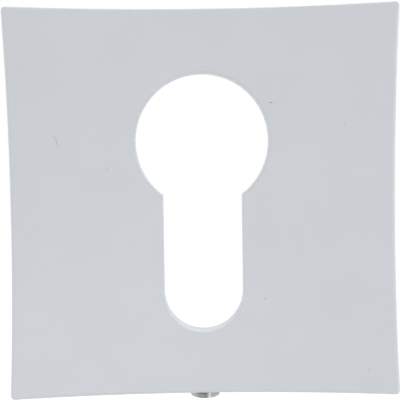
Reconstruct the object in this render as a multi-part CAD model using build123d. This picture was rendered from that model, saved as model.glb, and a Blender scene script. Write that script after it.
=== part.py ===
from build123d import *
import math
import os

# Square rose for a euro-profile lock cylinder: a hollow casting, fixed by one grub screw in its bottom wall.
# Millimetres. X is to the right, Z is up, and the front faces -Y.
# The door is the plane y = 0, and the origin is the middle of the square on the door.

# Outline of the rose
SIDE = 52.0  # from corner to corner along one side, at the door
SIDE_HOLLOW = 0.65  # how far the middle of a side lies inside the line between its corners
CORNER_ROUND = 0.55
DEPTH = 9.0  # from the door to the front face
DRAFT = 1.0  # degrees, on the cast walls
FRONT_EDGE = 0.5

# Hollow back
FACE_WALL = 2.8
RIM_WALL = 2.2
INSIDE_CORNER = 2.0
INSIDE_EDGE = 0.6  # chamfer where the walls meet the face

# Keyhole, centred on the square
KEYHOLE_DIA = 17.7
KEYHOLE_SLOT = 10.5
KEYHOLE_HEIGHT = 34.0
KEYHOLE_EDGE = 0.15

# Boss inside the bottom wall, around the screw
BOSS_WALL = 1.5
BOSS_LENGTH = 3.0  # from the inside of the bottom wall

# Grub screw with a hexagon socket and a cup point
SCREW_DIA = 4.0
SCREW_LENGTH = 6.0
SCREW_SETBACK = 4.5  # from the door to the screw's axis
SCREW_STANDOUT = 1.35  # how far its socket end stands out of the bottom wall
SCREW_CLEARANCE = 0.05  # between the screw and its hole, all round
SOCKET_WIDTH = 2.0  # across flats
SOCKET_DEPTH = 2.0
SOCKET_CHAMFER = 0.1
CUP_DIA = 2.0
CUP_ANGLE = 120.0  # degrees, inside the cup point
DRILL_ANGLE = 118.0  # degrees, at the bottom of the socket

# Largest share of a corner's radius that the edge running round it can take
EDGE_SHARE = 0.9

# Planes and places that follow from the sizes
DOOR = Plane.XZ  # its normal points away from the door
FACE_BACK = DEPTH - FACE_WALL  # from the door to the back of the face
TAPER = math.tan(math.radians(DRAFT))
SCREW_WALL_Z = SIDE_HOLLOW + SCREW_SETBACK * TAPER - SIDE / 2  # outside of the bottom wall at the screw
BOSS_END_Z = SIDE_HOLLOW + RIM_WALL - SIDE / 2 + BOSS_LENGTH
SCREW_END_Z = SCREW_WALL_Z - SCREW_STANDOUT


def hollow_square(side, hollow):
    """Square with four sides that bow inwards, each one arc."""
    half = side / 2
    reach = half - hollow
    corners = [(half, half), (-half, half), (-half, -half), (half, -half)]
    middles = [(reach, 0), (0, reach), (-reach, 0), (0, -reach)]
    sides = [ThreePointArc(corners[i - 1], middles[i], corners[i]) for i in range(4)]
    return make_face(sides)


def rounded(outline, radius):
    """The outline with its corners rounded."""
    return fillet(outline.vertices(), radius)


def block():
    """Solid block of the rose's outside, tapered towards the front."""
    back = rounded(hollow_square(SIDE, SIDE_HOLLOW), CORNER_ROUND)
    front = rounded(hollow_square(SIDE - 2 * DEPTH * TAPER, SIDE_HOLLOW), CORNER_ROUND)
    solid = loft([DOOR * back, DOOR.offset(DEPTH) * front], ruled=True)
    front_face = solid.faces().sort_by(Axis.Y)[0]
    return fillet(front_face.edges(), min(FRONT_EDGE, EDGE_SHARE * CORNER_ROUND))


def boss():
    """Post around the screw, joined to the back of the face, as long as the bottom wall and the boss."""
    radius = SCREW_DIA / 2 + SCREW_CLEARANCE + BOSS_WALL
    width = 2 * radius
    web = DEPTH - SCREW_SETBACK
    profile = Pos(0, -SCREW_SETBACK) * Circle(radius)
    profile += Pos(0, -SCREW_SETBACK - web / 2) * Rectangle(width, web)
    return extrude(Pos(0, 0, -SIDE / 2) * profile, BOSS_END_Z + SIDE / 2)


def hollow():
    """Space inside the rose, open at the door, with the boss left standing in it."""
    outline = hollow_square(SIDE, SIDE_HOLLOW)
    mouth = rounded(offset(outline, -RIM_WALL), INSIDE_CORNER)
    floor = rounded(offset(outline, -RIM_WALL - FACE_BACK * TAPER), INSIDE_CORNER)
    space = loft([DOOR * mouth, DOOR.offset(FACE_BACK) * floor], ruled=True)
    floor_face = space.faces().sort_by(Axis.Y)[0]
    space = chamfer(floor_face.edges(), min(INSIDE_EDGE, EDGE_SHARE * INSIDE_CORNER))
    return space - boss()


def keyhole():
    """Keyhole profile: a round part above and a slot with a round end below."""
    round_z = KEYHOLE_HEIGHT / 2 - KEYHOLE_DIA / 2
    end_z = KEYHOLE_SLOT / 2 - KEYHOLE_HEIGHT / 2
    leg = SlotCenterToCenter(round_z - end_z, KEYHOLE_SLOT, rotation=90)
    return Pos(0, round_z) * Circle(KEYHOLE_DIA / 2) + Pos(0, (round_z + end_z) / 2) * leg


def screw_hole():
    """Hole for the screw, through the bottom wall and the boss."""
    radius = SCREW_DIA / 2 + SCREW_CLEARANCE
    start = Pos(0, -SCREW_SETBACK, -SIDE / 2)
    return extrude(start * Circle(radius), BOSS_END_Z + SIDE / 2)


def rose():
    """The casting: the block, less its hollow back, keyhole and screw hole."""
    body = block() - hollow() - extrude(DOOR * keyhole(), DEPTH) - screw_hole()
    front_face = body.faces().sort_by(Axis.Y)[0]
    return fillet(front_face.inner_wires()[0].edges(), KEYHOLE_EDGE)


def grub_screw():
    """Socket end down, cup point up, with the point inside the boss."""
    radius = SCREW_DIA / 2
    cup = CUP_DIA / 2
    cup_depth = cup / math.tan(math.radians(CUP_ANGLE / 2))
    profile = Polyline(
        (0, 0),
        (radius - SOCKET_CHAMFER, 0),
        (radius, SOCKET_CHAMFER),
        (radius, SCREW_LENGTH - radius + cup),
        (cup, SCREW_LENGTH),
        (0, SCREW_LENGTH - cup_depth),
        close=True,
    )
    screw = revolve(Plane.XZ * make_face(profile), Axis.Z)
    socket = extrude(RegularPolygon(SOCKET_WIDTH / 2, 6, major_radius=False), SOCKET_DEPTH)
    drill = SOCKET_WIDTH / 2
    drill_depth = drill / math.tan(math.radians(DRILL_ANGLE / 2))
    drill_end = Pos(0, 0, SOCKET_DEPTH + drill_depth / 2) * Cone(drill, 0, drill_depth)
    return Pos(0, -SCREW_SETBACK, SCREW_END_Z) * (screw - socket - drill_end)


os.makedirs("parts", exist_ok=True)
export_step(rose(), "parts/rose.step")
export_step(grub_screw(), "parts/grub_screw.step")
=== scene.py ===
import math

import bmesh
import bpy
from mathutils import Matrix, Vector


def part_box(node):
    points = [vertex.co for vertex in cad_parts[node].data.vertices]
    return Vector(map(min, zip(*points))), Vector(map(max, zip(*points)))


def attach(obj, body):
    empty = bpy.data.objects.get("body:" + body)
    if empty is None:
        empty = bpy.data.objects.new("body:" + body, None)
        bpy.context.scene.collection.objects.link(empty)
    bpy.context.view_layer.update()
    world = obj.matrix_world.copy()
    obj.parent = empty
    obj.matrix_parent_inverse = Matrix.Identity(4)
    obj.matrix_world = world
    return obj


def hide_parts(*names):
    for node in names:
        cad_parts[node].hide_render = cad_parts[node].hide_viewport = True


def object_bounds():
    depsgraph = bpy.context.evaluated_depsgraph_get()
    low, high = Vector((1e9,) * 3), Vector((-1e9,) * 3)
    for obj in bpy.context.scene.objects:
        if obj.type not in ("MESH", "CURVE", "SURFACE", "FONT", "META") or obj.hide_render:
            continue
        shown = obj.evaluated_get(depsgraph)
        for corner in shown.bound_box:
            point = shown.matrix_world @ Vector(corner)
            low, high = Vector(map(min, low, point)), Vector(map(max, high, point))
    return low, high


# Looks of a square rose for a lock cylinder. Lengths are in metres, in the part's own frame:
# X to the right, Z up, the door at y = 0 and the front face looking along -Y.
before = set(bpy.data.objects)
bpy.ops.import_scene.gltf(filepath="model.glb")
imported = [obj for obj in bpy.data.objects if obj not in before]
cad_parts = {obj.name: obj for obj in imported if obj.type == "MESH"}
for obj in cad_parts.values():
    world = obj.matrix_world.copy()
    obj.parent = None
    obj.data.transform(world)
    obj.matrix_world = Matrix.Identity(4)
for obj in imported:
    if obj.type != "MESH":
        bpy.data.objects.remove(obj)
CAD_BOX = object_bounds()
MM = 0.001

# Camera, placed from the middle of the front face
CAMERA_AWAY = 98.93 * MM
CAMERA_RIGHT = -0.275 * MM
CAMERA_UP = 5.227 * MM
CAMERA_PITCH = -2.79  # degrees, looking down
CAMERA_ROLL = -0.836  # degrees
CAMERA_NEAR = 5 * MM
SENSOR = 36.0
LENS = 68.33

# Stage
FLOOR_DROP = 140 * MM  # below the lowest point of the part, so that it can also be seen from below
FLOOR_SIZE = 4.0
FLOOR_ALBEDO = 0.72
FLOOR_GLOW = 0.45  # what the eye sees in the floor on top of its own light, to read as white

# Light: an even white tent with weak soft boxes around it
AMBIENT = 0.86
AMBIENT_TINT = (0.99, 0.996, 1.0)
LAMPS = {  # place, size, power in watts and spread in degrees
    "front": ((0.0, -0.40, 0.05), 0.30, 0.11, 180),
    "right": ((0.42, -0.09, 0.05), 0.30, 0.44, 180),
    "left": ((-0.42, -0.09, 0.05), 0.30, 0.05, 180),
    "top": ((0.0, -0.10, 0.42), 0.40, 0.13, 180),
    "low": ((-0.03, -0.16, -0.06), 0.08, 0.023, 180),
    "behind": ((0.09, 0.20, 0.30), 0.30, 0.10, 60),
    "left_behind": ((-0.40, 0.15, 0.10), 0.30, 0.36, 180),
}

# Paint
PAINT = (0.576, 0.600, 0.634)
PAINT_ROUGHNESS = (0.34, 0.44)
MOTTLE = 0.012  # share by which the tone drifts
MOTTLE_SIZE = 9 * MM
MOTTLE_DETAIL = 3.0
PEEL_SIZE = 1.3 * MM
PEEL_DETAIL = 2.0
PEEL_HEIGHT = 0.01 * MM
PEEL_STRENGTH = 0.25
GRAIN_SIZE = 0.16 * MM
GRAIN_DETAIL = 2.0
GRAIN_HEIGHT = 0.002 * MM
GRAIN_STRENGTH = 0.3

# Dust and small marks on the front face, in millimetres: ends of a stroke as x and z, half width, darkness
MARKS = [
    ((-19.39, 8.95), (-18.94, 8.51), 0.11, 0.17),
    ((-18.94, 8.51), (-18.85, 7.94), 0.10, 0.24),
    ((-18.85, 7.94), (-18.53, 7.81), 0.09, 0.10),
    ((8.84, 12.96), (9.12, 12.92), 0.08, 0.52),
    ((9.15, 12.91), (9.38, 12.77), 0.06, 0.16),
    ((18.58, 10.14), (18.58, 10.14), 0.10, 0.36),
    ((-12.50, 4.64), (-12.30, 4.48), 0.22, 0.10),
    ((7.93, -12.68), (7.93, -12.68), 0.09, 0.66),
    ((21.69, -22.43), (21.69, -22.31), 0.09, 0.40),
    ((-23.40, 17.76), (-22.84, 17.76), 0.12, 0.08),
    ((7.85, 18.96), (7.85, 19.28), 0.13, 0.07),
    ((-4.20, 15.96), (-4.12, 15.92), 0.08, 0.42),
]
MARK_DEPTH = 0.3 * MM
MARK_CORE = 0.4  # share of a mark that is fully dark
MARK_RIM = 1.2  # where a mark has faded out

# Screw
PITCH = 0.7 * MM
THREAD_DEPTH = 0.43 * MM
THREAD_ROOT = 0.18  # share of the pitch that lies flat at the root
THREAD_CREST = 0.14  # and at the crest
THREAD_PHASE = 0.35  # turns
PLAIN_END = 0.45 * MM  # turned land at the socket end, before the thread
RUN_OUT = 0.35 * MM
SOCKET_WIDTH = 2.0 * MM
SOCKET_DEPTH = 2.0 * MM
SOCKET_BEVEL = 0.08 * MM
DRILL_ANGLE = 118.0  # degrees, at the bottom of the socket
END_CHAMFER = 0.1 * MM
CUP_WIDTH = 2.0 * MM
CUP_ANGLE = 120.0  # degrees, inside the cup point
TURN_STEPS = 72
PITCH_STEPS = 16
SHARP_ANGLE = 35  # degrees

# Steel: painted reflections as its tone round the barrel, by degrees from the front towards +X (a painted
# dark reflection at the front and a painted highlight near 17 degrees), and its tarnish
STEEL_REFLECTION_TONES = [
    (-180, 0.33), (-130, 0.26), (-100, 0.38), (-75, 0.44), (-40, 0.42), (-20, 0.27),
    (-8, 0.18), (5, 0.17), (12, 0.45), (17, 0.68), (22, 0.48), (30, 0.37),
    (48, 0.43), (80, 0.34), (120, 0.42), (150, 0.28), (180, 0.33),
]
STEEL_ROUGHNESS = (0.24, 0.42)
TARNISH = (0.78, 1.02)
TARNISH_SIZE = 0.35 * MM
TARNISH_DETAIL = 4.0

# Values that the materials share
WHITE = (1, 1, 1, 1)
NOISE_RANGE = (0.3, 0.7)  # where most of a noise's values lie


def new_material(name):
    """A node material, its tree and its Principled shader."""
    material = bpy.data.materials.new(name)
    material.use_nodes = True
    tree = material.node_tree
    return material, tree, tree.nodes["Principled BSDF"]


def add_node(tree, kind, **values):
    """A node of that kind with its properties and unlinked inputs set."""
    node = tree.nodes.new(kind)
    for name, value in values.items():
        if hasattr(node, name):
            setattr(node, name, value)
        else:
            node.inputs[name.replace("_", " ")].default_value = value
    return node


def add_noise(tree, place, size, detail):
    """Noise with features of that size."""
    noise = add_node(tree, "ShaderNodeTexNoise", Scale=1 / size, Detail=detail)
    tree.links.new(place, noise.inputs["Vector"])
    return noise.outputs["Fac"]


def stretch(tree, noise, low, high):
    """Noise stretched to run from low to high."""
    least, most = NOISE_RANGE
    stretched = add_node(tree, "ShaderNodeMapRange", From_Min=least, From_Max=most, To_Min=low, To_Max=high)
    tree.links.new(noise, stretched.inputs["Value"])
    return stretched.outputs["Result"]


def multiply(tree, first, second):
    """Product of two node outputs."""
    product = add_node(tree, "ShaderNodeMath", operation="MULTIPLY")
    tree.links.new(first, product.inputs[0])
    tree.links.new(second, product.inputs[1])
    return product.outputs["Value"]


def mark_tone(tree, place, mark):
    """1 away from a mark on the front face, and less on it."""
    (x0, z0), (x1, z1), half_width, darkness = mark
    half_length = math.hypot(x1 - x0, z1 - z0) / 2 + half_width
    local = add_node(tree, "ShaderNodeMapping", vector_type="TEXTURE")
    local.inputs["Location"].default_value = ((x0 + x1) / 2 * MM, CAD_BOX[0].y, (z0 + z1) / 2 * MM)
    local.inputs["Rotation"].default_value = (0, math.atan2(z0 - z1, x1 - x0), 0)
    local.inputs["Scale"].default_value = (half_length * MM, MARK_DEPTH, half_width * MM)
    reach = add_node(tree, "ShaderNodeVectorMath", operation="LENGTH")
    tone = add_node(tree, "ShaderNodeMapRange", From_Min=MARK_CORE, From_Max=MARK_RIM, To_Min=1 - darkness)
    tree.links.new(place, local.inputs["Vector"])
    tree.links.new(local.outputs["Vector"], reach.inputs[0])
    tree.links.new(reach.outputs["Value"], tone.inputs["Value"])
    return tone.outputs["Result"]


def painted_casting():
    """Satin paint on a casting: faint orange peel, fine grain, a slow drift of tone and some dust."""
    material, tree, shader = new_material("painted_casting")
    link = tree.links.new
    place = add_node(tree, "ShaderNodeTexCoord").outputs["Object"]
    peel = add_noise(tree, place, PEEL_SIZE, PEEL_DETAIL)
    grain = add_noise(tree, place, GRAIN_SIZE, GRAIN_DETAIL)

    mottle = add_noise(tree, place, MOTTLE_SIZE, MOTTLE_DETAIL)
    tone = stretch(tree, mottle, 1 - MOTTLE, 1 + MOTTLE)
    for mark in MARKS:
        tone = multiply(tree, tone, mark_tone(tree, place, mark))
    paint = add_node(tree, "ShaderNodeVectorMath", operation="SCALE")
    paint.inputs[0].default_value = PAINT
    link(tone, paint.inputs["Scale"])
    link(paint.outputs["Vector"], shader.inputs["Base Color"])
    link(stretch(tree, peel, *PAINT_ROUGHNESS), shader.inputs["Roughness"])

    peel_bump = add_node(tree, "ShaderNodeBump", Strength=PEEL_STRENGTH, Distance=PEEL_HEIGHT)
    grain_bump = add_node(tree, "ShaderNodeBump", Strength=GRAIN_STRENGTH, Distance=GRAIN_HEIGHT)
    link(peel, peel_bump.inputs["Height"])
    link(grain, grain_bump.inputs["Height"])
    link(peel_bump.outputs["Normal"], grain_bump.inputs["Normal"])
    link(grain_bump.outputs["Normal"], shader.inputs["Normal"])
    return material


def painted_barrel_reflections(tree, place):
    """Painted reflections: tone of the steel by the angle about the screw's axis, a dark painted reflection
    at the front and a bright painted highlight band.
    """
    from_front = add_node(tree, "ShaderNodeMapping")
    from_front.inputs["Rotation"].default_value = (0, 0, math.radians(90))
    turn = add_node(tree, "ShaderNodeTexGradient", gradient_type="RADIAL")
    tones = add_node(tree, "ShaderNodeValToRGB")
    stops = tones.color_ramp.elements
    while len(stops) < len(STEEL_REFLECTION_TONES):
        stops.new(0.5)
    for stop, (angle, tone) in zip(stops, STEEL_REFLECTION_TONES):
        stop.position = angle / 360 + 0.5
        stop.color = (tone, tone, tone, 1)
    tree.links.new(place, from_front.inputs["Vector"])
    tree.links.new(from_front.outputs["Vector"], turn.inputs["Vector"])
    tree.links.new(turn.outputs["Fac"], tones.inputs["Fac"])
    return tones.outputs["Color"]


def machined_steel():
    """Turned steel, with painted reflections as bands along the barrel and a fine tarnish."""
    material, tree, shader = new_material("screw_steel")
    link = tree.links.new
    place = add_node(tree, "ShaderNodeTexCoord").outputs["Object"]
    tarnish = add_noise(tree, place, TARNISH_SIZE, TARNISH_DETAIL)
    colour = add_node(tree, "ShaderNodeVectorMath", operation="SCALE")
    # the barrel's tone is painted reflection: a dark band at the front and a bright painted highlight band
    link(painted_barrel_reflections(tree, place), colour.inputs[0])
    link(stretch(tree, tarnish, *TARNISH), colour.inputs["Scale"])
    link(colour.outputs["Vector"], shader.inputs["Base Color"])
    link(stretch(tree, tarnish, *STEEL_ROUGHNESS), shader.inputs["Roughness"])
    shader.inputs["Metallic"].default_value = 1.0
    return material


def ray_share(tree):
    """1 for rays from the camera, mirrors and glass, and 0 for the rest."""
    path = add_node(tree, "ShaderNodeLightPath")
    seen = path.outputs["Is Camera Ray"]
    for name in ("Is Glossy Ray", "Is Transmission Ray"):
        larger = add_node(tree, "ShaderNodeMath", operation="MAXIMUM")
        tree.links.new(seen, larger.inputs[0])
        tree.links.new(path.outputs[name], larger.inputs[1])
        seen = larger.outputs["Value"]
    return seen


def make_world():
    """White to the eye, and a soft even light on the part."""
    world = bpy.data.worlds.new("studio")
    bpy.context.scene.world = world
    world.use_nodes = True
    tree = world.node_tree
    soft = tree.nodes["Background"]
    soft.inputs["Color"].default_value = (*AMBIENT_TINT, 1)
    soft.inputs["Strength"].default_value = AMBIENT
    white = add_node(tree, "ShaderNodeBackground", Color=WHITE, Strength=1.0)
    mix = add_node(tree, "ShaderNodeMixShader")
    tree.links.new(ray_share(tree), mix.inputs["Fac"])
    tree.links.new(soft.outputs["Background"], mix.inputs[1])
    tree.links.new(white.outputs["Background"], mix.inputs[2])
    tree.links.new(mix.outputs["Shader"], tree.nodes["World Output"].inputs["Surface"])


def floor_material():
    """Pale floor that keeps a soft shadow and reads as white where nothing shades it."""
    material, tree, shader = new_material("floor")
    tree.nodes.remove(shader)
    matt = add_node(tree, "ShaderNodeBsdfDiffuse", Color=(FLOOR_ALBEDO, FLOOR_ALBEDO, FLOOR_ALBEDO, 1))
    white = add_node(tree, "ShaderNodeEmission", Color=WHITE)
    glow = add_node(tree, "ShaderNodeMath", operation="MULTIPLY")
    glow.inputs[1].default_value = FLOOR_GLOW
    both = add_node(tree, "ShaderNodeAddShader")
    tree.links.new(ray_share(tree), glow.inputs[0])
    tree.links.new(glow.outputs["Value"], white.inputs["Strength"])
    tree.links.new(matt.outputs["BSDF"], both.inputs[0])
    tree.links.new(white.outputs["Emission"], both.inputs[1])
    tree.links.new(both.outputs["Shader"], tree.nodes["Material Output"].inputs["Surface"])
    return material


def link_object(name, data):
    """A new object in the scene."""
    made = bpy.data.objects.new(name, data)
    bpy.context.scene.collection.objects.link(made)
    return made


def make_floor():
    """One wide plane below the part."""
    mesh = bpy.data.meshes.new("floor")
    made = bmesh.new()
    bmesh.ops.create_grid(made, x_segments=1, y_segments=1, size=FLOOR_SIZE / 2)
    made.to_mesh(mesh)
    made.free()
    mesh.materials.append(floor_material())
    floor = link_object("floor", mesh)
    floor.location = (0, 0, CAD_BOX[0].z - FLOOR_DROP)


def make_lamp(name, place, size, power, spread):
    """A square soft box that faces the middle of the part."""
    lamp = bpy.data.lights.new(name, "AREA")
    lamp.size = size
    lamp.energy = power
    lamp.spread = math.radians(spread)
    made = link_object(name, lamp)
    made.location = place
    made.rotation_euler = (-Vector(place)).to_track_quat("-Z", "Y").to_euler()


def make_camera():
    """The photograph's view."""
    data = bpy.data.cameras.new("camera")
    data.sensor_width = SENSOR
    data.lens = LENS
    data.clip_start = CAMERA_NEAR
    camera = link_object("camera", data)
    upright = Matrix.Rotation(math.radians(90), 4, "X")
    roll = Matrix.Rotation(math.radians(CAMERA_ROLL), 4, "Z")
    pitch = Matrix.Rotation(math.radians(CAMERA_PITCH), 4, "X")
    front = CAD_BOX[0].y
    place = Matrix.Translation((CAMERA_RIGHT, front - CAMERA_AWAY, CAMERA_UP))
    camera.matrix_world = place @ upright @ roll @ pitch
    bpy.context.scene.camera = camera


def thread_radius(outer, height, turn):
    """Radius of the screw at a height above the socket end and a turn about the axis."""
    phase = (height / PITCH - turn + THREAD_PHASE) % 1.0
    rise = 1 - abs(2 * phase - 1)
    flank = (rise - THREAD_ROOT) / (1 - THREAD_ROOT - THREAD_CREST)
    cut = (height - PLAIN_END) / RUN_OUT
    return outer - THREAD_DEPTH * min(1.0, max(0.0, cut)) * (1 - min(1.0, max(0.0, flank)))


def hexagon_radius(turn):
    """Distance from the axis to a hexagon's flats, for a turn about the axis."""
    sixth = math.pi / 3
    angle = (2 * math.pi * turn) % sixth - sixth / 2
    return SOCKET_WIDTH / 2 / math.cos(angle)


def cone_height(radius, angle):
    """Height of a cone with that opening angle."""
    return radius / math.tan(math.radians(angle / 2))


def screw_rings(outer, length):
    """The screw's surface as rings of (radius, height), from inside the socket round to the cup's edge."""
    turns = [step / TURN_STEPS for step in range(TURN_STEPS)]
    hexagon = [hexagon_radius(turn) for turn in turns]
    rings = [[(radius, SOCKET_DEPTH) for radius in hexagon]]
    rings.append([(radius, SOCKET_BEVEL) for radius in hexagon])
    rings.append([(radius + SOCKET_BEVEL, 0) for radius in hexagon])
    rows = round(length / PITCH * PITCH_STEPS)
    for row in range(rows + 1):
        height = length * row / rows
        limit = min(outer - END_CHAMFER + height, CUP_WIDTH / 2 + length - height)
        rings.append([(min(limit, thread_radius(outer, height, turn)), height) for turn in turns])
    return rings


def screw_mesh(outer, length):
    """Closed surface of the screw, with its socket end at the origin."""
    made = bmesh.new()
    loops = []
    for ring in screw_rings(outer, length):
        loop = []
        for step, (radius, height) in enumerate(ring):
            angle = 2 * math.pi * step / TURN_STEPS
            loop.append(made.verts.new((radius * math.cos(angle), radius * math.sin(angle), height)))
        loops.append(loop)
    for lower, upper in zip(loops, loops[1:]):
        for step in range(TURN_STEPS):
            after = (step + 1) % TURN_STEPS
            made.faces.new((lower[step], lower[after], upper[after], upper[step]))
    drill_tip = made.verts.new((0, 0, SOCKET_DEPTH + cone_height(SOCKET_WIDTH / 2, DRILL_ANGLE)))
    cup_tip = made.verts.new((0, 0, length - cone_height(CUP_WIDTH / 2, CUP_ANGLE)))
    for step in range(TURN_STEPS):
        after = (step + 1) % TURN_STEPS
        made.faces.new((loops[0][after], loops[0][step], drill_tip))
        made.faces.new((loops[-1][step], loops[-1][after], cup_tip))
    bmesh.ops.recalc_face_normals(made, faces=made.faces)
    mesh = bpy.data.meshes.new("threaded_screw")
    made.to_mesh(mesh)
    made.free()
    mesh.shade_smooth()
    mesh.set_sharp_from_angle(angle=math.radians(SHARP_ANGLE))
    return mesh


def make_screw():
    """Grub screw with a real thread, a hexagon socket below and a cup point above."""
    low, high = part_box("grub_screw")
    middle = (low + high) / 2
    mesh = screw_mesh((high.x - low.x) / 2, high.z - low.z)
    mesh.materials.append(machined_steel())
    screw = link_object("threaded_screw", mesh)
    screw.location = (middle.x, middle.y, low.z)
    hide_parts("grub_screw")
    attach(screw, "root")


def paint_rose():
    """The casting keeps its solid and gets its paint."""
    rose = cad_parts["rose"]
    rose.data.materials.clear()
    rose.data.materials.append(painted_casting())


bpy.context.scene.view_settings.view_transform = "Standard"
make_camera()
make_world()
make_floor()
for lamp_name, lamp_values in LAMPS.items():
    make_lamp(lamp_name, *lamp_values)
paint_rose()
make_screw()
